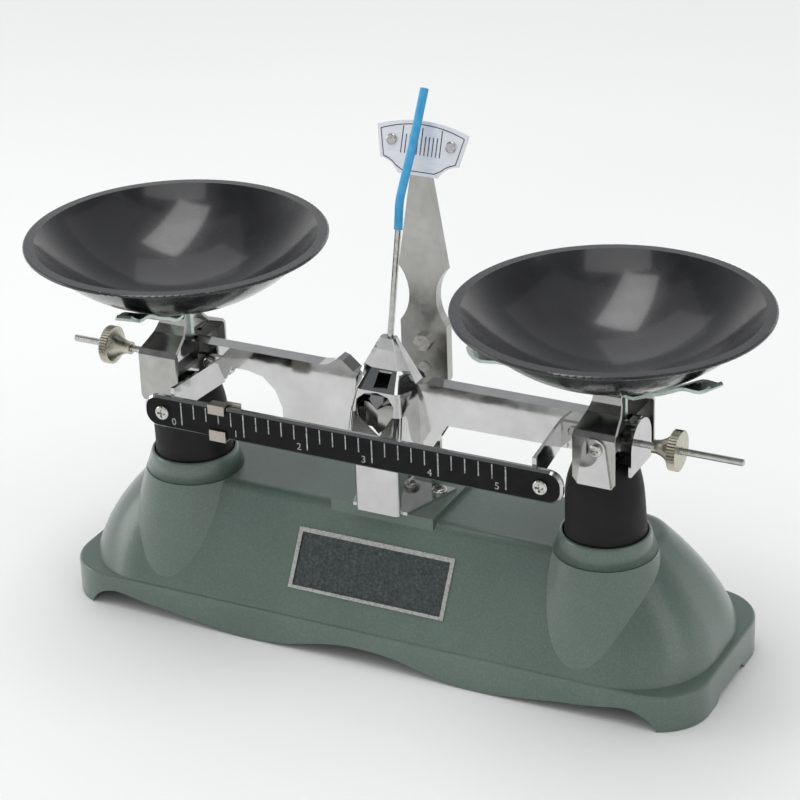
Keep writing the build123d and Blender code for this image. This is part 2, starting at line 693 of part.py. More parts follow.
def make_rider():
    low, high = SCALE_Z
    gap = 0.3
    front = SCALE_Y - gap
    back = SCALE_Y + SCALE_T + gap
    t = RIDER_T
    x0, x1 = RIDER_X - RIDER_W / 2, RIDER_X + RIDER_W / 2
    body = block(x0, x1, front - t, back + t, low - gap - t, high + gap + t)
    body -= block(x0 - 1, x1 + 1, front, back, low - gap, high + gap)
    body -= block(x0 - 1, x1 + 1, front - t - 1, front, low + 3.2, high - 2.6)
    tail = block(x1 - 1, x1 + 5, back, back + t, high - 5, high + 1.6)
    return body + tail


# Pan holder: a stirrup whose legs straddle the beam, under the claw
def holder_side():
    # outer line of one leg in the (y, z) plane, from the top down
    top = HOLDER_TOP
    return [(0, top), (4.4, top), (6.2, top - 1.8), (6.6, 107.0), (9.0, 104.4), (HOLDER_Y - 1.4, 101.0),
            (HOLDER_Y, 99.2), (HOLDER_Y, HOLDER_BOT)]


def holder_leg(sign):
    t = HOLDER_T
    outer = holder_side()
    inner = [(0, HOLDER_TOP - t), (4.0, HOLDER_TOP - t), (5.2, HOLDER_TOP - 2.2), (5.6, 106.6),
             (8.4, 103.5), (HOLDER_Y - 2.0, 100.1), (HOLDER_Y - t, 98.8), (HOLDER_Y - t, HOLDER_BOT)]
    points = [(sign * y, z) for y, z in outer + inner[::-1]]
    return end_cut(points, ARM - HOLDER_W / 2, ARM + HOLDER_W / 2)


def holder_front_view():
    # what is left of the strip seen from the front: a narrow neck that flares to the full width
    half, neck = HOLDER_W / 2, NECK_W / 2
    right = Spline((ARM + neck, 0, HOLDER_TOP - 3), (ARM + neck + 0.7, 0, 105.5),
                   (ARM + half, 0, 100.5))
    left = Spline((ARM - half, 0, 100.5), (ARM - neck - 0.7, 0, 105.5),
                  (ARM - neck, 0, HOLDER_TOP - 3))
    upper = Polyline((ARM - neck, 0, HOLDER_TOP - 3), (ARM - neck, 0, HOLDER_TOP + 1),
                     (ARM + neck, 0, HOLDER_TOP + 1), (ARM + neck, 0, HOLDER_TOP - 3))
    lower = Polyline((ARM + half, 0, 100.5), (ARM + half, 0, HOLDER_BOT + 1.5),
                     (ARM + half - 1, 0, HOLDER_BOT), (ARM - half + 2, 0, HOLDER_BOT),
                     (ARM - half, 0, HOLDER_BOT + 2.5), (ARM - half, 0, 100.5))
    outline = face_of(right, left, upper, lower)
    return extrude(Pos(0, -30, 0) * outline, amount=60, dir=(0, 1, 0))


def make_holder():
    body = holder_leg(-1) + holder_leg(1)
    body = body & holder_front_view()
    # arched window behind the bearing plate, and a hole for the stem's tenon
    arch = block(ARM - 4.0, ARM + 4.0, -HOLDER_Y - 1, -HOLDER_Y + 2, 84.5, 88.0)
    arch += rod((ARM, -HOLDER_Y - 1, 88.0), (ARM, -HOLDER_Y + 2, 88.0), 4.0)
    body -= arch
    body -= rod((ARM + 1.3, -HOLDER_Y - 1, 95.7), (ARM + 1.3, -HOLDER_Y + 2, 95.7), 1.15)
    body -= Pos(ARM, 0, HOLDER_TOP) * Cylinder(2.0 + RUN_GAP, 6)
    return body


def make_bearings():
    # a steel block with a V, inside each leg, that hangs on the end knife
    apex = PIVOT_Z + REST_GAP
    w = BEARING_W / 2
    points = [(ARM - w, apex - 2), (ARM - w, apex + BEARING_H - 2), (ARM + w, apex + BEARING_H - 2),
              (ARM + w, apex - 2), (ARM + 2.2, apex - 2), (ARM, apex), (ARM - 2.2, apex - 2)]
    face = HOLDER_Y - HOLDER_T
    front = side_cut(points, -face, -face + 6.6)
    back = side_cut(points, face - 6.6, face)
    front -= rod((ARM + 1.3, -face - 1, 95.7), (ARM + 1.3, -face + 4, 95.7), 1.1)
    return group([front, back])


def make_bearing_plate():
    y0 = -HOLDER_Y - 0.8
    low = [(ARM - 5.6, 82.2), (ARM + 6.4, 82.0), (ARM + 4.6, 95.4)]
    plate = side_cut([low[0], low[1], low[2], (ARM - 3.6, 95.4)], y0, -HOLDER_Y)
    plate += rod((ARM + 0.5, y0, 95.4), (ARM + 0.5, -HOLDER_Y, 95.4), 4.1)
    plate -= rod((ARM + 1.3, y0 - 1, 95.7), (ARM + 1.3, -HOLDER_Y + 1, 95.7), 1.15)
    return plate


def make_bearing_screw():
    y0 = -HOLDER_Y - 0.8
    place = Plane(origin=(ARM + 1.3, y0, 95.7), x_dir=(1, 0, 0), z_dir=(0, -1, 0))
    return place * pan_head_screw(2.3, 1.3, 1.05, 4.2)


def pan_radius():
    rim = PAN_R - RIM_W
    return (rim * rim + PAN_DEPTH * PAN_DEPTH) / (2 * PAN_DEPTH)


def pan_under(r):
    # height of the pan's outer surface at distance r from its middle
    ball = pan_radius()
    return PAN_RIM_Z - PAN_DEPTH + ball - math.sqrt(ball * ball - r * r)


def make_claw(angles):
    # three arms that rise from the hub, touch the pan near its rim and turn outwards
    low = HOLDER_TOP
    t = PLATE
    touch = pan_under(CLAW_CONTACT_R) - REST_GAP - t * 0.85
    top = [(0, low + t), (12, low + t), (22, low + t + 0.3), (31, low + t + 2.6), (38, touch - 4.2),
           (CLAW_CONTACT_R + 0.6, touch + 0.4), (CLAW_R - 3.2, touch + 1.0), (CLAW_R, touch + 3.2)]
    middle = Spline(*[(x, 0, z) for x, z in top[1:]])
    line = Polyline((0, 0, low + t / 2), (12, 0, low + t / 2))
    run = Spline(*[(x, 0, z - t / 2) for x, z in top[1:]], tangents=[(1, 0, 0), (0.6, 0, 0.8)])
    arms = Pos(0, 0, low + t / 2) * Cylinder(9.0, t)
    for angle in angles:
        flat = Plane(origin=run @ 0, z_dir=run % 0)
        strip = sweep(flat * Rectangle(t, CLAW_W * 0.8), path=run)
        strip += block(0, 12, -CLAW_W * 0.4, CLAW_W * 0.4, low, low + t)
        arms += Rot(0, 0, angle) * strip
    arms -= Pos(0, 0, low) * Cylinder(2.0 + RUN_GAP, 6)
    return arms


def make_stem():
    # a flat strap with an eye round the end knife; its tenon is riveted over the claw's hub
    under = HOLDER_TOP - HOLDER_T
    w = STEM_W / 2
    strap = block(ARM - w, ARM + w, -STEM_T / 2, STEM_T / 2, STEM_END_Z, under)
    strap = fillet(strap.edges().filter_by(Axis.Y).group_by(Axis.Z)[0], 4.0)
    strap -= block(ARM - EYE_W / 2, ARM + EYE_W / 2, -5, 5, PIVOT_Z - 6, PIVOT_Z - 6 + EYE_H)
    tenon_top = HOLDER_TOP + PLATE
    strap += Pos(ARM, 0, (under + tenon_top) / 2) * Cylinder(2.0, tenon_top - under)
    head = Pos(ARM, 0, tenon_top + 0.45) * Cylinder(3.2, 0.9)
    head = fillet(head.edges().group_by(Axis.Z)[-1], 0.6)
    strap += head
    strap -= rod((ARM, -4, LINK_Z), (ARM, 4, LINK_Z), PIN_R)
    return strap


def make_stem_pin():
    link_back = STEM_T / 2 + LINK_GAP + LINK_T
    head = rod((ARM, -STEM_T / 2 - 1.0, LINK_Z), (ARM, -STEM_T / 2, LINK_Z), 2.6)
    shank = rod((ARM, -STEM_T / 2, LINK_Z), (ARM, link_back + 1.6, LINK_Z), PIN_R)
    return head + shank


def make_lower_link():
    y0 = STEM_T / 2 + LINK_GAP
    half = LINK_H / 2
    bar = block(-ARM - 5, ARM + 5, y0, y0 + LINK_T, LINK_Z - half, LINK_Z + half)
    bar = fillet(bar.edges().filter_by(Axis.Y), half * 0.9)
    for x in (-ARM, ARM):
        bar -= rod((x, y0 - 1, LINK_Z), (x, y0 + 5, LINK_Z), PIN_R + RUN_GAP)
    bar -= rod((0, y0 - 1, LINK_Z), (0, y0 + 5, LINK_Z), LINK_PIN_R + RUN_GAP)
    # pressed rib in each half stiffens the strip, as a long window
    for x in (-ARM / 2, ARM / 2):
        slot = block(x - 27, x + 27, y0 - 1, y0 + LINK_T + 1, LINK_Z - 2, LINK_Z + 2)
        bar -= slot
    return bar


def make_link_pin():
    link_back = STEM_T / 2 + LINK_GAP + LINK_T
    shank = rod((0, -8, LINK_Z), (0, link_back + 2.2, LINK_Z), LINK_PIN_R)
    return shank + rod((0, -9.2, LINK_Z), (0, -8, LINK_Z), 3.2)


def make_pan():
    bottom = PAN_RIM_Z - PAN_DEPTH
    ball = pan_radius()
    rim = PAN_R - RIM_W
    outer = RadiusArc((0, 0, bottom), (rim, 0, PAN_RIM_Z), -ball)
    ball_z = bottom + ball
    outer = ThreePointArc((0, 0, bottom), (rim / 2, 0, pan_under(rim / 2)), (rim, 0, PAN_RIM_Z - RIM_H))
    low_out = (0, bottom)
    section = [(0, bottom)]
    steps = 1
    inner_r = ball - PAN_WALL
    edge_z = PAN_RIM_Z - RIM_H
    outer_r = math.sqrt(ball * ball - (ball_z - edge_z) ** 2)
    inner_edge = math.sqrt(inner_r * inner_r - (ball_z - PAN_RIM_Z) ** 2)
    mid_out = (outer_r / 2, pan_under(outer_r / 2))
    mid_in_r = inner_edge / 2
    mid_in = (mid_in_r, ball_z - math.sqrt(inner_r * inner_r - mid_in_r * mid_in_r))
    lower = ThreePointArc((0, 0, bottom), (mid_out[0], 0, mid_out[1]), (outer_r, 0, edge_z))
    lip = Polyline((outer_r, 0, edge_z), (PAN_R, 0, edge_z), (PAN_R, 0, PAN_RIM_Z),
                   (inner_edge, 0, PAN_RIM_Z))
    upper = ThreePointArc((inner_edge, 0, PAN_RIM_Z), (mid_in[0], 0, mid_in[1]),
                          (0, 0, bottom + PAN_WALL))
    middle = Line((0, 0, bottom + PAN_WALL), (0, 0, bottom))
    outline = face_of(lower, lip, upper, middle)
    dish = revolve(outline, axis=Axis.Z)
    edge = dish.edges().filter_by(lambda e: e.bounding_box().max.X > PAN_R - 0.01)
    return fillet(edge, RIM_H * 0.45)


def build_all():
    made["base_casting"] = make_base()
    made["nameplate"] = make_nameplate()
    boot = make_boot()
    made["right_boot"] = boot
    made["left_boot"] = flip(boot)
    made["column"] = make_column()
    made["column_screws"] = make_column_screws()
    front_bearing = make_centre_bearing()
    made["front_centre_bearing"] = front_bearing
    made["rear_centre_bearing"] = mirror(front_bearing, about=Plane.XZ)
    made["bracket_post"] = make_bracket_post()
    made["post_screw"] = make_post_screws()
    made["indicator_bracket"] = make_indicator_bracket()
    made["bracket_bolt"] = make_bracket_bolt()
    made["bracket_nut"] = make_bracket_nut()
    made["bracket_rivet"] = make_bracket_rivet()
    made["indicator_plate"] = make_dial()
    made["indicator_rivets"] = make_dial_rivets()
    made["link_pin"] = make_link_pin()

    made["beam"] = make_beam()
    made["centre_knife"] = make_centre_knife()
    made["right_end_knife"] = end_knife_at(ARM, 0)
    made["left_end_knife"] = end_knife_at(-ARM, 0)
    end_plate = make_end_plate()
    made["right_end_plate"] = end_plate
    made["left_end_plate"] = flip(end_plate)
    stud = make_stud()
    made["right_stud"] = stud
    made["left_stud"] = flip(stud)
    made["pointer"] = make_pointer()
    made["pointer_sleeve"] = make_sleeve()
    made["scale_bar"] = make_scale_bar()
    standoff = make_standoff()
    made["right_standoff"] = standoff
    made["left_standoff"] = flip(standoff)
    made["standoff_rivets"] = make_standoff_rivets()
    made["scale_screws"] = make_scale_screws()
    made["rider"] = make_rider()
    made["left_balance_nut"] = make_nut(LEFT_NUT_X, -1)
    made["right_balance_nut"] = make_nut(RIGHT_NUT_X, 1)

    right = {
        "pan_holder": make_holder(),
        "bearings": make_bearings(),
        "bearing_plate": make_bearing_plate(),
        "bearing_screw": make_bearing_screw(),
    }
    for name, shape in right.items():
        made["right_" + name] = shape
        made["left_" + name] = turn(shape)
    claw = make_claw([90, -30, -150])
    made["right_claw"] = Pos(ARM, 0, 0) * claw
    made["left_claw"] = Pos(-ARM, 0, 0) * turn(claw)
    stem = make_stem()
    made["right_stem"] = stem
    made["left_stem"] = flip(stem)
    pin = make_stem_pin()
    made["right_stem_pin"] = pin
    made["left_stem_pin"] = flip(pin)
    made["lower_link"] = make_lower_link()
    pan = make_pan()
    made["right_pan"] = Pos(PAN_X, 0, 0) * pan
    made["left_pan"] = Pos(-PAN_X, 0, 0) * pan


def write_all():
    os.makedirs("parts", exist_ok=True)
    for name, shape in made.items():
        export_step(shape, f"parts/{name}.step")


build_all()
write_all()
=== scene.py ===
import bmesh
import bpy
import math
from mathutils import Matrix, Vector


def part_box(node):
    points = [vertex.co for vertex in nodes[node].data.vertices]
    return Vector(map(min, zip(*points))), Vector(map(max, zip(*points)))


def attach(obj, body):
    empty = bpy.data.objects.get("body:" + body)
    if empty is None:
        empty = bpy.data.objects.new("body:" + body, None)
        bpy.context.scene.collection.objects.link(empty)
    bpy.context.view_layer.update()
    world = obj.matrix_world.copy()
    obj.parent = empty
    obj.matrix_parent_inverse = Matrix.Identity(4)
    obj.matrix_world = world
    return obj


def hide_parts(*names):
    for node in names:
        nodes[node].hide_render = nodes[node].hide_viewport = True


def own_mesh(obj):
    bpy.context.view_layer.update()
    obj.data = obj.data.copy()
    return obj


# Roberval table balance: finishes, threads, printed scale, dial, bracket, boots with their
# collars, claws, light and camera. Lengths are in metres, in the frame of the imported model.
# Tables of sizes that say so are in millimetres.
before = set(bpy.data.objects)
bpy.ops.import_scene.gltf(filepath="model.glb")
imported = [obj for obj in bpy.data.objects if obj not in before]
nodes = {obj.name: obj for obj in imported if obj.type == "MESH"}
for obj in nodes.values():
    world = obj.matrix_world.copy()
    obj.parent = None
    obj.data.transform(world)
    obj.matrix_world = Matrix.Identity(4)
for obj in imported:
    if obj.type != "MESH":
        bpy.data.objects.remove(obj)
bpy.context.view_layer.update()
MM = 0.001


# Materials

def linear(hex_colour):
    """An sRGB colour such as "6f8a80", as the linear colour that a shader takes."""
    channels = [int(hex_colour[i:i + 2], 16) / 255 for i in (0, 2, 4)]
    return [c / 12.92 if c <= 0.04045 else ((c + 0.055) / 1.055) ** 2.4 for c in channels] + [1.0]


def add_node(material, kind, settings=None, links=None):
    """Adds a shader node. Settings go to its properties or sockets, links to its sockets."""
    made = material.node_tree.nodes.new("ShaderNode" + kind)
    for key, value in (settings or {}).items():
        if key == "stops":
            ramp = made.color_ramp.elements
            while len(ramp) < len(value):
                ramp.new(0.5)
            for element, (place, colour) in zip(ramp, value):
                element.position = place
                element.color = linear(colour)
        elif isinstance(key, int) or key in made.inputs:
            made.inputs[key].default_value = value
        else:
            setattr(made, key, value)
    for key, output in (links or {}).items():
        material.node_tree.links.new(output, made.inputs[key])
    return made


def new_material(name, shader):
    """An empty material with a Principled shader, and its object-space coordinates in metres."""
    material = bpy.data.materials.new(name)
    material.use_nodes = True
    material.node_tree.nodes.clear()
    surface = add_node(material, "BsdfPrincipled", shader)
    add_node(material, "OutputMaterial", {}, {"Surface": surface.outputs["BSDF"]})
    place = add_node(material, "TexCoord").outputs["Object"]
    return material, surface, place


def per_size(millimetres):
    """Texture scale at which one feature of a noise is about this many millimetres."""
    return 1.0 / (millimetres * MM)


def wire(material, output, socket):
    material.node_tree.links.new(output, socket)


def noise(material, place, millimetres, detail=3.0, roughness=0.5):
    settings = {"Scale": per_size(millimetres), "Detail": detail, "Roughness": roughness}
    return add_node(material, "TexNoise", settings, {"Vector": place}).outputs["Fac"]


def tint(material, factor, stops):
    return add_node(material, "ValToRGB", {"stops": stops}, {"Fac": factor}).outputs["Color"]


def spread(material, factor, low, high):
    """Maps the middle part of a noise to a range of numbers."""
    settings = {"From Min": 0.3, "From Max": 0.7, "To Min": low, "To Max": high}
    return add_node(material, "MapRange", settings, {"Value": factor}).outputs["Result"]


def bump(material, height, depth_mm, strength=1.0, below=None):
    links = {"Height": height}
    if below:
        links["Normal"] = below
    settings = {"Distance": depth_mm * MM, "Strength": strength}
    return add_node(material, "Bump", settings, links).outputs["Normal"]


def hammered_enamel():
    # Stoved enamel on rough iron: a grey-green satin coat with faint 0.8 mm flecks.
    # The casting under it waves over about 14 mm.
    material, surface, place = new_material(
        "hammered_enamel",
        {"Metallic": 0.1, "IOR": 1.5, "Coat Weight": 0.75, "Coat Roughness": 0.24})
    flecks = noise(material, place, 0.8, 4.0, 0.6)
    clouds = noise(material, place, 34.0, 2.0)
    body = tint(material, flecks, [(0.30, "596a61"), (0.52, "5f7168"), (0.74, "6a7b72")])
    dirt = tint(material, clouds, [(0.30, "b4bdb8"), (0.70, "ffffff")])
    mixed = add_node(material, "Mix", {"data_type": "RGBA", "blend_type": "MULTIPLY", 0: 0.3},
                     {6: body, 7: dirt})
    wire(material, mixed.outputs[2], surface.inputs["Base Color"])
    wire(material, spread(material, flecks, 0.34, 0.42), surface.inputs["Roughness"])
    waves = bump(material, noise(material, place, 14.0, 2.0), 0.08)
    wire(material, bump(material, flecks, 0.010, 1.0, waves), surface.inputs["Normal"])
    return material


def gunmetal_enamel():
    # Black glossy enamel on spun sheet: soft broad highlights, and slight waves over 9 mm.
    material, surface, place = new_material(
        "gunmetal_enamel",
        {"Metallic": 0.3, "IOR": 1.5, "Coat Weight": 0.7, "Coat Roughness": 0.10})
    cloud = noise(material, place, 22.0, 3.0)
    colour = tint(material, cloud, [(0.3, "1b1a1d"), (0.7, "252528")])
    wire(material, colour, surface.inputs["Base Color"])
    wire(material, spread(material, noise(material, place, 7.0, 4.0), 0.22, 0.32),
         surface.inputs["Roughness"])
    wire(material, bump(material, noise(material, place, 9.0, 3.0), 0.02),
         surface.inputs["Normal"])
    return material


def nickel_plate():
    # Bright nickel on pressed steel sheet: a mirror with the sheet's slight waves over 11 mm.
    material, surface, place = new_material("nickel_plate", {"Metallic": 1.0})
    film = noise(material, place, 14.0, 4.0, 0.6)
    wire(material, tint(material, film, [(0.3, "bfbfbe"), (0.7, "d3d3d2")]),
         surface.inputs["Base Color"])
    wire(material, spread(material, noise(material, place, 4.0, 5.0, 0.65), 0.05, 0.13),
         surface.inputs["Roughness"])
    wire(material, bump(material, noise(material, place, 11.0, 2.0), 0.05),
         surface.inputs["Normal"])
    return material


def dull_nickel():
    # Nickel on unpolished steel: greyer and softer than the bright sheet, clouded over 6 mm.
    material, surface, place = new_material("dull_nickel", {"Metallic": 1.0})
    film = noise(material, place, 6.0, 4.0, 0.6)
    wire(material, tint(material, film, [(0.3, "a2a19d"), (0.7, "bab9b5")]),
         surface.inputs["Base Color"])
    wire(material, spread(material, film, 0.16, 0.28), surface.inputs["Roughness"])
    wire(material, bump(material, noise(material, place, 9.0, 2.0), 0.04),
         surface.inputs["Normal"])
    return material


def zinc_plate():
    # Zinc plate with a pale green passivation: satin, a little cloudy.
    material, surface, place = new_material("zinc_plate", {"Metallic": 1.0})
    film = noise(material, place, 5.0, 4.0, 0.6)
    wire(material, tint(material, film, [(0.3, "a3b3ab"), (0.7, "ccd6cf")]),
         surface.inputs["Base Color"])
    wire(material, spread(material, film, 0.24, 0.40), surface.inputs["Roughness"])
    wire(material, bump(material, noise(material, place, 1.5, 3.0), 0.012),
         surface.inputs["Normal"])
    return material


def plated_screw_steel():
    # Turned steel with thin plate: the lathe's fine rings are too small to show, so it is satin.
    material, surface, place = new_material("plated_screw_steel", {"Metallic": 1.0})
    film = noise(material, place, 1.5, 4.0, 0.6)
    wire(material, tint(material, film, [(0.3, "b3b2ae"), (0.7, "d6d5d1")]),
         surface.inputs["Base Color"])
    wire(material, spread(material, film, 0.14, 0.26), surface.inputs["Roughness"])
    return material


def ground_knife_steel():
    # Hardened steel, ground: darker and plain, with grinding lines along Y at 0.25 mm.
    material, surface, place = new_material("ground_knife_steel", {"Metallic": 1.0})
    stretched = add_node(material, "Mapping", {"Scale": (4000.0, 200.0, 4000.0)},
                         {"Vector": place}).outputs["Vector"]
    lines = add_node(material, "TexNoise", {"Scale": 1.0, "Detail": 2.0},
                     {"Vector": stretched}).outputs["Fac"]
    wire(material, tint(material, lines, [(0.3, "77777a"), (0.7, "9b9b9c")]),
         surface.inputs["Base Color"])
    wire(material, spread(material, lines, 0.28, 0.42), surface.inputs["Roughness"])
    return material


def nickelled_brass():
    # Thin nickel on turned brass: the yellow shows through, most where fingers have worn it.
    material, surface, place = new_material("nickelled_brass", {"Metallic": 1.0})
    wear = noise(material, place, 2.2, 4.0, 0.7)
    wire(material, tint(material, wear, [(0.35, "b9b6ac"), (0.65, "cbc4b2")]),
         surface.inputs["Base Color"])
    wire(material, spread(material, wear, 0.22, 0.36), surface.inputs["Roughness"])
    return material


def spring_sheet():
    # Rolled spring sheet, barely polished: grained along the strip at 0.4 mm.
    material, surface, place = new_material("spring_sheet", {"Metallic": 1.0})
    grain = noise(material, place, 0.4, 4.0, 0.7)
    wire(material, tint(material, grain, [(0.3, "9b948b"), (0.7, "c4beb4")]),
         surface.inputs["Base Color"])
    wire(material, spread(material, grain, 0.30, 0.45), surface.inputs["Roughness"])
    wire(material, bump(material, grain, 0.01), surface.inputs["Normal"])
    return material


def scale_lacquer():
    # Black lacquer filled flush on the scale strip: smooth with a low gloss.
    material, surface, place = new_material(
        "scale_lacquer", {"IOR": 1.45, "Specular IOR Level": 0.15})
    cloud = noise(material, place, 4.0, 3.0)
    wire(material, tint(material, cloud, [(0.3, "0f0f10"), (0.7, "1a1a1b")]),
         surface.inputs["Base Color"])
    wire(material, spread(material, cloud, 0.34, 0.46), surface.inputs["Roughness"])
    return material


def mark_paint():
    # Pale grey filling in the scale's engraved marks, rubbed thin in places.
    material, surface, place = new_material("mark_paint", {"Roughness": 0.55, "IOR": 1.5})
    rubbed = noise(material, place, 0.9, 3.0)
    wire(material, tint(material, rubbed, [(0.35, "85878a"), (0.65, "c3c5c6")]),
         surface.inputs["Base Color"])
    return material


def dial_print():
    # Dark printing ink on the dial: matt, slightly uneven.
    material, surface, place = new_material("dial_print", {"Roughness": 0.6, "IOR": 1.45})
    uneven = noise(material, place, 0.8, 3.0)
    wire(material, tint(material, uneven, [(0.3, "23252e"), (0.7, "3a3d48")]),
         surface.inputs["Base Color"])
    return material


def satin_dial_aluminium():
    # Satin anodised aluminium: silver-white, brushed from side to side at 0.3 mm.
    material, surface, place = new_material("satin_dial_aluminium", {"Metallic": 0.45})
    stretched = add_node(material, "Mapping", {"Scale": (150.0, 3300.0, 3300.0)},
                         {"Vector": place}).outputs["Vector"]
    brushed = add_node(material, "TexNoise", {"Scale": 1.0, "Detail": 2.0},
                       {"Vector": stretched}).outputs["Fac"]
    wire(material, tint(material, brushed, [(0.3, "e8eaf2"), (0.7, "f6f7fb")]),
         surface.inputs["Base Color"])
    wire(material, spread(material, brushed, 0.34, 0.46), surface.inputs["Roughness"])
    return material


def cast_pewter():
    # Dark cast plate: the raised edge is rubbed bright, the sunk field stays dull and pitted.
    # The pits are about 1.1 mm across.
    material, surface, place = new_material("cast_pewter", {"Metallic": 0.85})
    low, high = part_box("nameplate")
    middle = (low + high) / 2
    half_width = (high.x - low.x) / 2
    parts = add_node(material, "SeparateXYZ", {}, {"Vector": place})
    side = add_node(material, "Math", {"operation": "ABSOLUTE"}, {0: parts.outputs["X"]})
    at_side = add_node(material, "Math", {"operation": "GREATER_THAN", 1: half_width - 1.5 * MM},
                       {0: side.outputs[0]})
    lift = add_node(material, "Math", {"operation": "SUBTRACT", 1: middle.z},
                    {0: parts.outputs["Z"]})
    height = add_node(material, "Math", {"operation": "ABSOLUTE"}, {0: lift.outputs[0]})
    edge_z = (high.z - low.z) / 2 - 1.6 * MM
    at_edge = add_node(material, "Math", {"operation": "GREATER_THAN", 1: edge_z},
                       {0: height.outputs[0]})
    rim = add_node(material, "Math", {"operation": "MAXIMUM"},
                   {0: at_side.outputs[0], 1: at_edge.outputs[0]})
    pits = noise(material, place, 1.1, 5.0, 0.7)
    field = tint(material, pits, [(0.3, "3a3f40"), (0.55, "545a5a"), (0.75, "767a79")])
    bright = tint(material, pits, [(0.3, "b4b4b0"), (0.7, "d6d5d0")])
    mixed = add_node(material, "Mix", {"data_type": "RGBA"},
                     {0: rim.outputs[0], 6: field, 7: bright})
    wire(material, mixed.outputs[2], surface.inputs["Base Color"])
    rough = spread(material, pits, 0.42, 0.60)
    smoother = add_node(material, "Math", {"operation": "MULTIPLY_ADD", 1: -0.2},
                        {0: rim.outputs[0], 2: rough})
    wire(material, smoother.outputs[0], surface.inputs["Roughness"])
    wire(material, bump(material, pits, 0.12), surface.inputs["Normal"])
    return material


def boot_rubber():
    # Moulded black rubber: matt, with a dusty bloom over 8 mm and a fine 0.5 mm skin.
    material, surface, place = new_material(
        "boot_rubber", {"IOR": 1.5, "Specular IOR Level": 0.3})
    bloom = noise(material, place, 8.0, 4.0, 0.6)
    wire(material, tint(material, bloom, [(0.3, "100f10"), (0.7, "181617")]),
         surface.inputs["Base Color"])
    wire(material, spread(material, bloom, 0.48, 0.66), surface.inputs["Roughness"])
    wire(material, bump(material, noise(material, place, 0.5, 2.0), 0.012),
         surface.inputs["Normal"])
    return material


def sleeve_plastic():
    # Soft PVC tube: clear cyan-blue, smooth, slightly see-through at its skin.
    material, surface, place = new_material(
        "sleeve_plastic", {"IOR": 1.5, "Subsurface Weight": 0.2, "Subsurface Scale": 0.001})
    cloud = noise(material, place, 3.0, 2.0)
    wire(material, tint(material, cloud, [(0.3, "2f9bd0"), (0.7, "46abdc")]),
         surface.inputs["Base Color"])
    wire(material, spread(material, cloud, 0.34, 0.44), surface.inputs["Roughness"])
    return material


enamel = hammered_enamel()
pan_enamel = gunmetal_enamel()
nickel = nickel_plate()
soft_nickel = dull_nickel()
zinc = zinc_plate()
screw_steel = plated_screw_steel()
knife_steel = ground_knife_steel()
nut_brass = nickelled_brass()
rider_sheet = spring_sheet()
lacquer = scale_lacquer()
mark_fill = mark_paint()
ink = dial_print()
dial_metal = satin_dial_aluminium()
pewter = cast_pewter()
rubber = boot_rubber()
sleeve = sleeve_plastic()

finishes = {
    enamel: ["base_casting"],
    pewter: ["nameplate"],
    rubber: ["left_boot", "right_boot"],
    nickel: ["column", "beam", "left_standoff", "right_standoff", "left_bearing_plate",
             "right_bearing_plate", "left_end_plate", "right_end_plate", "scale_bar"],
    soft_nickel: ["indicator_bracket", "bracket_post", "front_centre_bearing",
                  "rear_centre_bearing", "left_pan_holder", "right_pan_holder"],
    screw_steel: ["column_screws", "post_screw", "bracket_bolt", "bracket_nut", "bracket_rivet",
                  "indicator_rivets", "standoff_rivets", "scale_screws", "left_bearing_screw",
                  "right_bearing_screw", "left_stud", "right_stud", "pointer"],
    knife_steel: ["centre_knife", "left_end_knife", "right_end_knife", "left_bearings",
                  "right_bearings", "left_stem_pin", "right_stem_pin", "link_pin"],
    zinc: ["left_claw", "right_claw", "left_stem", "right_stem", "lower_link"],
    nut_brass: ["left_balance_nut", "right_balance_nut"],
    rider_sheet: ["rider"],
    sleeve: ["pointer_sleeve"],
    dial_metal: ["indicator_plate"],
    pan_enamel: ["left_pan", "right_pan"],
}
for material, names in finishes.items():
    for name in names:
        nodes[name].data.materials.clear()
        nodes[name].data.materials.append(material)


# Mesh pieces

def add_piece(name, points, faces, material, body, smooth=True):
    mesh = bpy.data.meshes.new(name)
    mesh.from_pydata(points, [], faces)
    mesh.update()
    outward = bmesh.new()
    outward.from_mesh(mesh)
    bmesh.ops.recalc_face_normals(outward, faces=outward.faces)
    outward.to_mesh(mesh)
    outward.free()
    mesh.materials.append(material)
    for face in mesh.polygons:
        face.use_smooth = smooth
    piece = bpy.data.objects.new(name, mesh)
    bpy.context.scene.collection.objects.link(piece)
    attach(piece, body)
    return piece


def add_to(faces, more, start):
    """Adds faces that count their points from start."""
    faces += [tuple(k + start for k in face) for face in more]


def ring_faces(rings, count):
    """Quads between rings of points, each ring with count points, and a flat cap at each end."""
    faces = []
    for i in range(rings - 1):
        for j in range(count):
            k = (j + 1) % count
            faces.append((i * count + j, i * count + k, (i + 1) * count + k, (i + 1) * count + j))
    faces.append(tuple(range(count))[::-1])
    faces.append(tuple(range((rings - 1) * count, rings * count)))
    return faces


def closed_ring_faces(rings, count):
    """Quads between rings of points, with the last ring joined to the first."""
    faces = ring_faces(rings, count)[:-2]
    last = (rings - 1) * count
    faces += [(last + j, last + (j + 1) % count, (j + 1) % count, j) for j in range(count)]
    return faces


# Threaded studs: an M3 thread of 0.5 mm pitch, drawn at 0.7 mm so that it shows
THREAD_PITCH = 0.7 * MM
THREAD_DEPTH = 0.22 * MM
THREAD_R = 1.3 * MM
THREAD_STEPS = 16
RINGS_PER_PITCH = 4
STUD_FLANGE_R = 2.1 * MM
STUD_FLANGE_T = 2.4 * MM
STUD_TAPER = 0.6 * MM


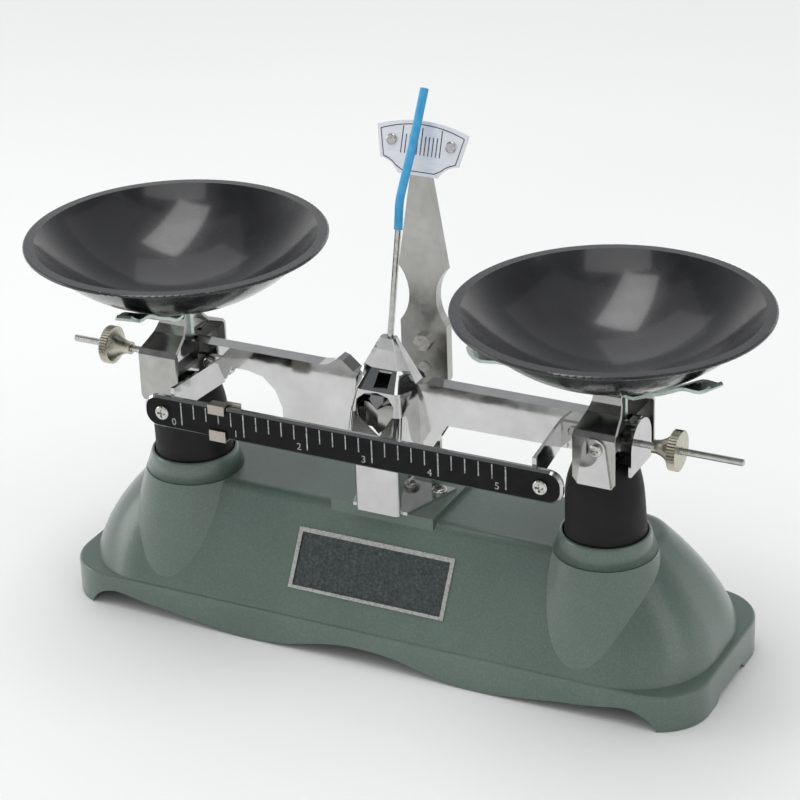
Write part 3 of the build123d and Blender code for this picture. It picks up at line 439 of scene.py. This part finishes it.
def add_threaded_stud(side, sign):
    low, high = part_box(side + "_stud")
    axis_z = (low.z + high.z) / 2
    length = high.x - low.x
    start = low.x if sign > 0 else high.x
    count = int(length / THREAD_PITCH * RINGS_PER_PITCH)
    points = []
    for i in range(count + 1):
        x = i / count * length
        for j in range(THREAD_STEPS):
            turn = j / THREAD_STEPS
            phase = (x / THREAD_PITCH + turn) % 1.0
            depth = THREAD_DEPTH * abs(2 * phase - 1)
            taper = min(1.0, (length - x) / STUD_TAPER + 0.45)
            radius = (THREAD_R - depth) * taper
            if x < STUD_FLANGE_T:
                radius = STUD_FLANGE_R
            angle = 2 * math.pi * turn
            points.append((start + sign * x, radius * math.cos(angle),
                           axis_z + radius * math.sin(angle)))
    piece = add_piece(side + "_threaded_stud", points, ring_faces(count + 1, THREAD_STEPS),
                      screw_steel, "beam")
    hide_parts(side + "_stud")


add_threaded_stud("left", -1)
add_threaded_stud("right", 1)

# Black face of the scale strip, with its marks and numbers
bar_low, bar_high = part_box("scale_bar")
FACE_INSET = 0.8 * MM
FACE_LIFT = 0.05 * MM
FACE_CORNER = 4.4 * MM
FACE_SINK = 0.02 * MM
FIRST_MARK_X = -64.5 * MM
NUMBER_PITCH = 24.76 * MM
MARKS_PER_NUMBER = 5
LAST_NUMBER = 5
# for a short mark and a long one
MARK_LENGTHS = (5.4 * MM, 8.6 * MM)
MARK_WIDTHS = (0.40 * MM, 0.48 * MM)
MARK_LIFT = 0.04 * MM
NUMBER_HEIGHT = 2.6 * MM
NUMBER_LEFT_OF_MARK = 3.2 * MM
NUMBER_UP = 3.0 * MM
FONT_CAPITAL = 0.7
face_y = bar_low.y


def rounded_strip(half_width, z0, z1, radius, y, steps=10):
    """Outline points of an upright rounded rectangle at depth y."""
    corners = [(half_width - radius, z1 - radius, 0), (-half_width + radius, z1 - radius, 90),
               (-half_width + radius, z0 + radius, 180), (half_width - radius, z0 + radius, 270)]
    points = []
    for x, z, start in corners:
        for i in range(steps + 1):
            angle = math.radians(start + 90 * i / steps)
            points.append((x + radius * math.cos(angle), y, z + radius * math.sin(angle)))
    return points


def add_strip_face():
    half = bar_high.x - FACE_INSET
    z0, z1 = bar_low.z + FACE_INSET, bar_high.z - FACE_INSET
    back = rounded_strip(half, z0, z1, FACE_CORNER, face_y + FACE_SINK)
    front = rounded_strip(half, z0, z1, FACE_CORNER, face_y - FACE_LIFT)
    add_piece("scale_face", back + front, ring_faces(2, len(back)), lacquer, "beam",
              smooth=False)


def bar_box(x0, x1, y0, y1, z0, z1):
    """Corner points and faces of one upright box, for gathering into a larger mesh."""
    points = [(x, y, z) for x in (x0, x1) for y in (y0, y1) for z in (z0, z1)]
    faces = [(0, 1, 3, 2), (4, 6, 7, 5), (0, 4, 5, 1), (2, 3, 7, 6), (0, 2, 6, 4), (1, 5, 7, 3)]
    return points, faces


def add_scale_marks():
    points, faces = [], []
    top = bar_high.z - FACE_INSET - 0.3 * MM
    y = face_y - FACE_LIFT
    for i in range(MARKS_PER_NUMBER * LAST_NUMBER + 1):
        x = FIRST_MARK_X + i * NUMBER_PITCH / MARKS_PER_NUMBER
        long_mark = i % MARKS_PER_NUMBER == 0
        length = MARK_LENGTHS[long_mark]
        half = MARK_WIDTHS[long_mark] / 2
        more, sides = bar_box(x - half, x + half, y - MARK_LIFT, y + FACE_SINK, top - length, top)
        add_to(faces, sides, len(points))
        points += more
    add_piece("scale_marks", points, faces, mark_fill, "beam", smooth=False)


def add_number(digit, x, z, height):
    curve = bpy.data.curves.new("scale_number_" + digit, "FONT")
    curve.body = digit
    curve.size = height / FONT_CAPITAL
    curve.align_x = "CENTER"
    curve.align_y = "CENTER"
    curve.extrude = 0.03 * MM
    text = bpy.data.objects.new("scale_number_" + digit, curve)
    text.matrix_world = Matrix.Translation((x, face_y - FACE_LIFT, z)) @ Matrix.Rotation(
        math.radians(90), 4, "X")
    bpy.context.scene.collection.objects.link(text)
    curve.materials.append(mark_fill)
    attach(text, "beam")


add_strip_face()
add_scale_marks()
for i in range(LAST_NUMBER + 1):
    add_number(str(i), FIRST_MARK_X + i * NUMBER_PITCH - NUMBER_LEFT_OF_MARK,
               bar_low.z + NUMBER_UP, NUMBER_HEIGHT)


# Dial: a fan-shaped plate that leans back, with a printed outline and a row of marks.
# Its sizes are in mm, across the plate and up along it from the height of the rivets.
LEAN = math.radians(20)
ALONG = Vector((0, math.sin(LEAN), math.cos(LEAN)))
OUTWARD = Vector((0, -math.cos(LEAN), math.sin(LEAN)))
DIAL_CROWN = 7.6
DIAL_HALF = 17.4
CROWN_DROP = 3.0
DIAL_THICK = 0.8
HOLLOW_X = 15.4
HOLLOW_UP = -15.4
HOLLOW_R = 8.9
PRINT_CROWN = 6.3
PRINT_HALF = 15.9
PRINT_CORNER = (13.7, -5.9)
PRINT_HOLLOW_R = 9.6
PRINT_FOOT = -9.9
PRINT_FOOT_HALF = 6.2
OUTLINE_WIDTH = 0.32
DIAL_MARK_WIDTH = 0.36
DIAL_MARKS_EACH_SIDE = 5
DIAL_MARK_ROW_HALF = 7.4
DIAL_MARK_FOOT = -4.2
DIAL_MARK_TOPS = (2.4, 5.2)
PRINT_LIFT = 0.04 * MM
PRINT_SINK = 0.05 * MM
plate_points = [nodes["indicator_plate"].matrix_world @ v.co
                for v in nodes["indicator_plate"].data.vertices]
face_out = max(point.dot(OUTWARD) for point in plate_points)
# the height of the rivets along the plate, down from the top of its crown
rivet_up = max(point.dot(ALONG) for point in plate_points) - DIAL_CROWN * MM


def on_dial(x, up, lift):
    """A point on the dial's face: x across, up along the plate from the rivets, lift off it."""
    return Vector((x, 0, 0)) + ALONG * (rivet_up + up) + OUTWARD * (face_out + lift)


def add_flat_solid(outline, place, points, faces):
    """Adds a closed solid on a flat outline to a mesh. place(x, up, end) gives its points."""
    start, count = len(points), len(outline)
    for end in (0, 1):
        points += [place(x, up, end) for x, up in outline]
    faces.append(tuple(range(start, start + count)))
    faces.append(tuple(range(start + count, start + 2 * count))[::-1])
    for j in range(count):
        k = (j + 1) % count
        faces.append((start + j, start + count + j, start + count + k, start + k))


def both_halves(right):
    """The closed outline whose right half runs from the middle of its top to that of its foot."""
    return right + [(-x, up) for x, up in right[::-1] if x > 0]


def crown(half, top, steps):
    """Points of the rounded crown, from its middle to its right end."""
    return [(i / steps * half, top - CROWN_DROP * (i / steps) ** 2) for i in range(steps + 1)]


def circle_run(centre_x, centre_up, radius, first, last, steps):
    """Points on a circle, from one angle to another in degrees."""
    angles = [math.radians(first + (last - first) * i / steps) for i in range(steps + 1)]
    return [(centre_x + radius * math.cos(a), centre_up + radius * math.sin(a)) for a in angles]


def add_dial_plate():
    # the fan: a rounded crown, straight sides and a hollow corner each side of the foot
    right = crown(DIAL_HALF, DIAL_CROWN, 8)
    right += circle_run(HOLLOW_X, HOLLOW_UP, HOLLOW_R, 92.6, 152.0, 8)
    points, faces = [], []
    add_flat_solid(both_halves(right),
                   lambda x, up, end: on_dial(x * MM, up * MM, (end - 1) * DIAL_THICK * MM),
                   points, faces)
    piece = add_piece("dial_fan", points, faces, dial_metal, "base",
                      smooth=False)
    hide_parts("indicator_plate")


def print_line(a, b, width, points, faces):
    """Adds a thin printed bar from a to b on the dial to a mesh. Sizes in mm."""
    run = Vector((b[0] - a[0], b[1] - a[1]))
    side = Vector((-run.y, run.x)).normalized() * width / 2
    start = len(points)
    for lift in (-PRINT_SINK, PRINT_LIFT):
        for x, up in ((a[0] + side.x, a[1] + side.y), (a[0] - side.x, a[1] - side.y),
                      (b[0] - side.x, b[1] - side.y), (b[0] + side.x, b[1] + side.y)):
            points.append(on_dial(x * MM, up * MM, lift))
    add_to(faces, [(0, 1, 2, 3), (7, 6, 5, 4), (0, 4, 5, 1), (1, 5, 6, 2), (2, 6, 7, 3),
                   (3, 7, 4, 0)], start)


def add_dial_print():
    points, faces = [], []
    for i in range(-DIAL_MARKS_EACH_SIDE, DIAL_MARKS_EACH_SIDE + 1):
        x = i * DIAL_MARK_ROW_HALF / DIAL_MARKS_EACH_SIDE
        long_mark = i % DIAL_MARKS_EACH_SIDE == 0
        print_line((x, DIAL_MARK_FOOT), (x, DIAL_MARK_TOPS[long_mark]), DIAL_MARK_WIDTH,
                   points, faces)
    # half of the outline, from the crown's middle round to the foot's middle
    right = crown(PRINT_HALF, PRINT_CROWN, 6) + [PRINT_CORNER]
    right += circle_run(HOLLOW_X, HOLLOW_UP, PRINT_HOLLOW_R, 100, 170, 6)[1:]
    right = [(x, up) for x, up in right if up > PRINT_FOOT]
    right += [(PRINT_FOOT_HALF, PRINT_FOOT), (0.0, PRINT_FOOT)]
    for side in (1, -1):
        for a, b in zip(right[:-1], right[1:]):
            print_line((side * a[0], a[1]), (side * b[0], b[1]), OUTLINE_WIDTH, points, faces)
    add_piece("dial_print", points, faces, ink, "base", smooth=False)


add_dial_plate()
add_dial_print()


# Indicator bracket: a waisted strip with its edges turned back, and a tongue behind the dial.
# Sizes in mm; heights are over the table.
BRACKET_FOOT_Z = 84.0
BRACKET_BEND_Z = 165.8
BRACKET_HALF = 9.0
BRACKET_TOP_HALF = 3.5
BRACKET_SHEET = 1.0
BRACKET_EDGE = 4.0
NECK_X = 21.6
NECK_Z = 118.5
NECK_R = 16.4
POST_CLEAR_X = 5.0
TONGUE = [(0, 12.0), (14.0, 12.0), (14.0, 5.2), (BRACKET_TOP_HALF, 5.2),
          (BRACKET_TOP_HALF, -1.0), (0, -1.0)]


def bracket_half():
    """The right half of the strip's outline, from the middle of its top to that of its foot."""
    right = [(0, BRACKET_BEND_Z), (BRACKET_TOP_HALF, BRACKET_BEND_Z), (BRACKET_TOP_HALF, 163.0)]
    right += circle_run(NECK_X, NECK_Z, NECK_R, 140.2, 219.8, 12)
    right += [(BRACKET_HALF, BRACKET_FOOT_Z + 3.0), (8.1, BRACKET_FOOT_Z + 0.9),
              (6.0, BRACKET_FOOT_Z), (0, BRACKET_FOOT_Z)]
    return right


def turned_edge(line, side, front):
    """Points of the edge that is turned back along a line, four to a station."""
    points = []
    for i, (x, z) in enumerate(line):
        before, after = line[max(i - 1, 0)], line[min(i + 1, len(line) - 1)]
        inward = Vector((after[1] - before[1], before[0] - after[0])).normalized()
        for grow, y in ((0, BRACKET_SHEET), (0, BRACKET_EDGE), (BRACKET_SHEET, BRACKET_EDGE),
                        (BRACKET_SHEET, BRACKET_SHEET)):
            points.append(Vector((side * (x + grow * inward.x), front + y,
                                  z + grow * inward.y)) * MM)
    return points


def add_bracket():
    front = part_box("indicator_bracket")[0].y / MM
    right = bracket_half()
    points, faces = [], []
    add_flat_solid(both_halves(right),
                   lambda x, z, end: Vector((x, front + end * BRACKET_SHEET, z)) * MM,
                   points, faces)
    line = right[2:-1] + [(POST_CLEAR_X, BRACKET_FOOT_Z)]
    for side in (1, -1):
        add_to(faces, ring_faces(len(line), 4), len(points))
        points += turned_edge(line, side, front)
    bend = Vector((0, front, BRACKET_BEND_Z))

    def on_tongue(x, up, end):
        return (bend + Vector((x, 0, 0)) + ALONG * up - OUTWARD * end * BRACKET_SHEET) * MM

    add_flat_solid(both_halves(TONGUE), on_tongue, points, faces)
    piece = add_piece("waisted_bracket", points, faces, soft_nickel, "base",
                      smooth=False)
    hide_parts("indicator_bracket")


add_bracket()


# Rubber boots: a soft moulded sleeve with shallow dents.
# Height as a share of the boot's, and the outside radius in mm
BOOT_OUTLINE = [(0.0, 14.4), (0.18, 14.4), (0.24, 14.0), (0.4, 13.8), (0.6, 13.7), (0.74, 13.1),
                (0.85, 12.1), (0.93, 11.1), (0.98, 10.2), (1.0, 9.4)]
BOOT_MOUTH = (0.985, 7.9)
BOOT_WALL = 1.6
BOOT_STEPS = 64


def add_boot(side, sign):
    low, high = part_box(side + "_boot")
    centre = (low + high) / 2
    height = high.z - low.z
    inside = [(up - 0.05 if up > 0.3 else up, radius - BOOT_WALL)
              for up, radius in BOOT_OUTLINE[::-1]]
    profile = BOOT_OUTLINE + [BOOT_MOUTH] + inside[1:]
    points = []
    for up, radius in profile:
        for j in range(BOOT_STEPS):
            angle = 2 * math.pi * j / BOOT_STEPS
            dent = 0.45 * math.sin(3 * angle + 1.2 + 2.4 * up) * math.sin(math.pi * up)
            dent += 0.15 * math.sin(5 * angle - 5.0 * up + sign)
            r = (radius + dent * min(1.0, up * 4)) * MM
            points.append((centre.x + r * math.cos(angle), centre.y + r * math.sin(angle),
                           low.z + up * height))
    faces = closed_ring_faces(len(profile), BOOT_STEPS)
    piece = add_piece(side + "_rubber_boot", points, faces, rubber, "base")
    soften = piece.modifiers.new("soften", "SUBSURF")
    soften.levels = soften.render_levels = 1
    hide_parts(side + "_boot")
    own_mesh(piece)


def revolved(profile, centre, count):
    """Points and faces of a closed ring; profile is (radius, height) in mm above centre."""
    points = []
    for radius, up in profile:
        for j in range(count):
            angle = 2 * math.pi * j / count
            points.append((centre.x + radius * MM * math.cos(angle),
                           centre.y + radius * MM * math.sin(angle), centre.z + up * MM))
    return points, closed_ring_faces(len(profile), count)


# The casting rises in a collar round the foot of each boot: radius and height in mm
COLLAR_PROFILE = [(17.9, -0.2), (15.8, 6.2), (15.6, 6.7), (15.2, 7.0), (14.8, 7.0), (14.6, 6.6),
                  (14.5, -0.2)]


def add_boot_collar(side):
    low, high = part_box(side + "_boot")
    foot = Vector(((low.x + high.x) / 2, (low.y + high.y) / 2, low.z))
    points, faces = revolved(COLLAR_PROFILE, foot, 96)
    add_piece(side + "_boot_collar", points, faces, enamel, "base")


add_boot("left", -1)
add_boot("right", 1)
add_boot_collar("left")
add_boot_collar("right")


# Claws: three arms that follow the dish of the pan from below and turn outwards at their tips.
# Distance from the hub's middle, height of the strip's middle over the hub's foot, and half
# width, in mm
CLAW_ARM = [(8.6, 0.6, 4.7), (12, 0.7, 4.7), (15, 1.4, 4.7), (18, 2.9, 4.7), (22, 5.1, 4.7),
            (26, 6.8, 4.7), (30, 8.8, 4.7), (33, 10.5, 4.7), (35.5, 11.9, 4.7), (37.5, 12.9, 4.7),
            (40, 13.6, 4.7), (43, 14.0, 4.7), (45.6, 14.5, 4.5), (47.4, 15.5, 3.8),
            (48.6, 16.9, 2.6)]
CLAW_HALF_T = 0.58
CLAW_HUB = [(2.1, 0), (9.0, 0), (9.0, 1.2), (2.1, 1.2)]


def add_claw(side, angles):
    """A claw on one pan holder, with its arms at these angles in degrees."""
    low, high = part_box(side + "_pan_holder")
    hub = Vector(((low.x + high.x) / 2, 0, high.z))
    points, faces = revolved(CLAW_HUB, hub, 48)
    for angle in angles:
        along = Vector((math.cos(math.radians(angle)), math.sin(math.radians(angle)), 0))
        across = Vector((-along.y, along.x, 0))
        add_to(faces, ring_faces(len(CLAW_ARM), 4), len(points))
        for i, (r, z, half) in enumerate(CLAW_ARM):
            before, after = CLAW_ARM[max(i - 1, 0)], CLAW_ARM[min(i + 1, len(CLAW_ARM) - 1)]
            run = Vector((after[0] - before[0], after[1] - before[1])).normalized()
            for sideways, through in ((half, 1), (-half, 1), (-half, -1), (half, -1)):
                lift = through * CLAW_HALF_T
                points.append(hub + MM * (along * (r - run.y * lift) + across * sideways
                                          + Vector((0, 0, z + run.x * lift))))
    piece = add_piece(side + "_pressed_claw", points, faces, zinc, side + "_holder",
                      smooth=False)
    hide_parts(side + "_claw")


add_claw("right", (94, -26, -146))
add_claw("left", (279, 159, 39))


# Smooth shading on the curved carried-over nodes
for name, node in nodes.items():
    for face in node.data.polygons:
        face.use_smooth = True


# Floor, light and camera
FLOOR_HALF = 3.0
FLOOR_Z = -0.0002


def add_floor():
    corners = [(x * FLOOR_HALF, y * FLOOR_HALF, FLOOR_Z)
               for x, y in ((-1, -1), (1, -1), (1, 1), (-1, 1))]
    mesh = bpy.data.meshes.new("floor")
    mesh.from_pydata(corners, [], [(0, 1, 2, 3)])
    material, surface, place = new_material("pale_table", {"Roughness": 0.75, "IOR": 1.4})
    cloud = noise(material, place, 400.0, 2.0)
    wire(material, tint(material, cloud, [(0.3, "f8f8f7"), (0.7, "fcfcfb")]),
         surface.inputs["Base Color"])
    mesh.materials.append(material)
    floor = bpy.data.objects.new("floor", mesh)
    bpy.context.scene.collection.objects.link(floor)


def add_softbox(name, place, target, size, power):
    lamp = bpy.data.lights.new(name, "AREA")
    lamp.shape = "RECTANGLE"
    lamp.size, lamp.size_y = size
    lamp.energy = power
    box = bpy.data.objects.new(name, lamp)
    box.location = place
    box.rotation_euler = (Vector(target) - Vector(place)).to_track_quat("-Z", "Y").to_euler()
    bpy.context.scene.collection.objects.link(box)


def add_world():
    """A pale room. The camera sees it plain; bright metal sees it darken towards the ceiling."""
    world = bpy.data.worlds.new("studio")
    world.use_nodes = True
    world.node_tree.nodes.clear()
    rays = add_node(world, "LightPath")
    seen = add_node(world, "Math", {"operation": "MAXIMUM"},
                    {0: rays.outputs["Is Camera Ray"], 1: rays.outputs["Is Transmission Ray"]})
    aim = add_node(world, "SeparateXYZ", {}, {"Vector": add_node(world, "TexCoord").outputs[0]})
    ceiling = tint(world, aim.outputs["Z"], [(0.0, "eceded"), (0.22, "f6f6f6"), (0.42, "b4b6b8"),
                                             (0.75, "707376")])
    room = add_node(world, "Background", {"Color": linear("f2f4f6"), "Strength": 0.6})
    mirror = add_node(world, "Background", {"Strength": 0.95}, {"Color": ceiling})
    plain = add_node(world, "Background", {"Color": linear("e7e7e7"), "Strength": 1.0})
    lit = add_node(world, "MixShader", {}, {0: rays.outputs["Is Glossy Ray"], 1: room.outputs[0],
                                            2: mirror.outputs[0]})
    mixed = add_node(world, "MixShader", {}, {0: seen.outputs[0], 1: lit.outputs[0],
                                              2: plain.outputs[0]})
    add_node(world, "OutputWorld", {}, {"Surface": mixed.outputs[0]})
    bpy.context.scene.world = world


# The camera, solved from the photograph
CAMERA_PLACE = Vector((0.39755, -0.76168, 0.50497))
CAMERA_AROUND = math.radians(27.36)
CAMERA_DOWN = math.radians(25.8)
CAMERA_ROLL = math.radians(-2.05)
CAMERA_LENS = 2745.24 / 800 * 36


def add_camera():
    forward = Vector((-math.sin(CAMERA_AROUND) * math.cos(CAMERA_DOWN),
                      math.cos(CAMERA_AROUND) * math.cos(CAMERA_DOWN), -math.sin(CAMERA_DOWN)))
    level = Vector((math.cos(CAMERA_AROUND), math.sin(CAMERA_AROUND), 0))
    upward = level.cross(forward)
    c, s = math.cos(CAMERA_ROLL), math.sin(CAMERA_ROLL)
    right = level * c + upward * s
    up = upward * c - level * s
    lens = bpy.data.cameras.new("camera")
    lens.lens = CAMERA_LENS
    lens.sensor_width = 36
    lens.sensor_fit = "HORIZONTAL"
    camera = bpy.data.objects.new("camera", lens)
    turn = Matrix((right, up, -forward)).transposed().to_4x4()
    camera.matrix_world = Matrix.Translation(CAMERA_PLACE) @ turn
    bpy.context.scene.collection.objects.link(camera)
    bpy.context.scene.camera = camera


add_floor()
add_world()
add_softbox("top_softbox", (-0.1, 0.45, 1.3), (0, 0, 0.05), (2.0, 1.4), 2.6)
add_softbox("back_softbox", (-0.55, 0.6, 1.15), (0, 0, 0.08), (0.9, 0.6), 1.0)
add_softbox("upper_softbox", (-0.12, 0.0, 1.4), (0, 0, 0.1), (0.9, 0.45), 4.6)
add_softbox("front_softbox", (0.25, -0.6, 1.35), (0, 0, 0.1), (0.9, 0.45), 1.8)
add_softbox("left_softbox", (-1.25, -0.35, 0.48), (0, 0, 0.08), (0.7, 0.5), 2.8)
add_softbox("right_softbox", (1.2, -0.2, 0.8), (0, 0, 0.08), (0.6, 0.9), 1.5)
add_camera()
bpy.context.scene.view_settings.view_transform = "Standard"
